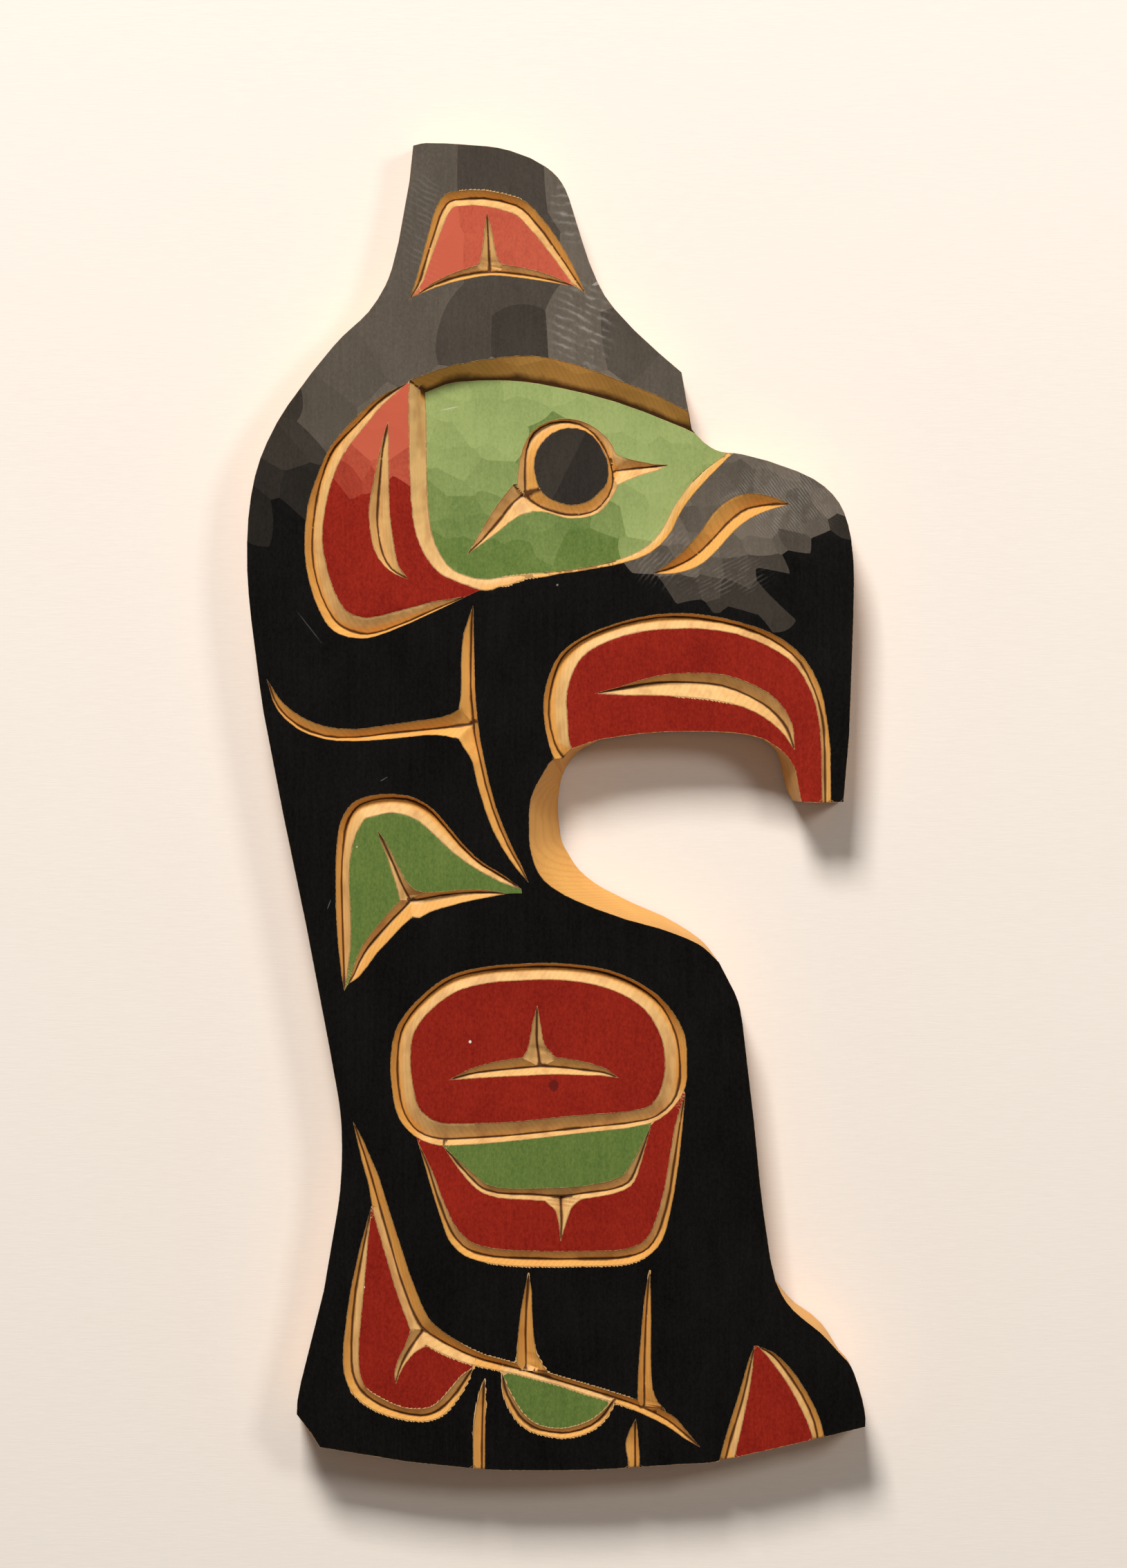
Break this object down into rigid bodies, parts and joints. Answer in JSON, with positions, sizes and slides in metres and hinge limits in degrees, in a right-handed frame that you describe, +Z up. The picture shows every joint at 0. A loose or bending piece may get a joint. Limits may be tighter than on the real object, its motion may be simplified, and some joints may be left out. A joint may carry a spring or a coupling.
{
  "type": "totem pole",
  "caption": "Wall totem figure: a flat wooden board in the outline of a bird in profile, carved with V grooves and painted in ovoids and U-forms.",
  "frame": {"origin": "the point on the flat back where the board hangs, behind the eye and above the board's middle", "axes": "+Z up along the figure's height, +X towards the beak, +Y out of the flat back towards the wall, so the carved face looks along -Y"},
  "size_m": [0.2, 0.019, 0.43],
  "materials": {
    "painted_wood": "matte black, red and green paint on satin cedar"
  },
  "bodies": {
    "root": {"carved_board": "painted_wood"}
  },
  "joints": []
}
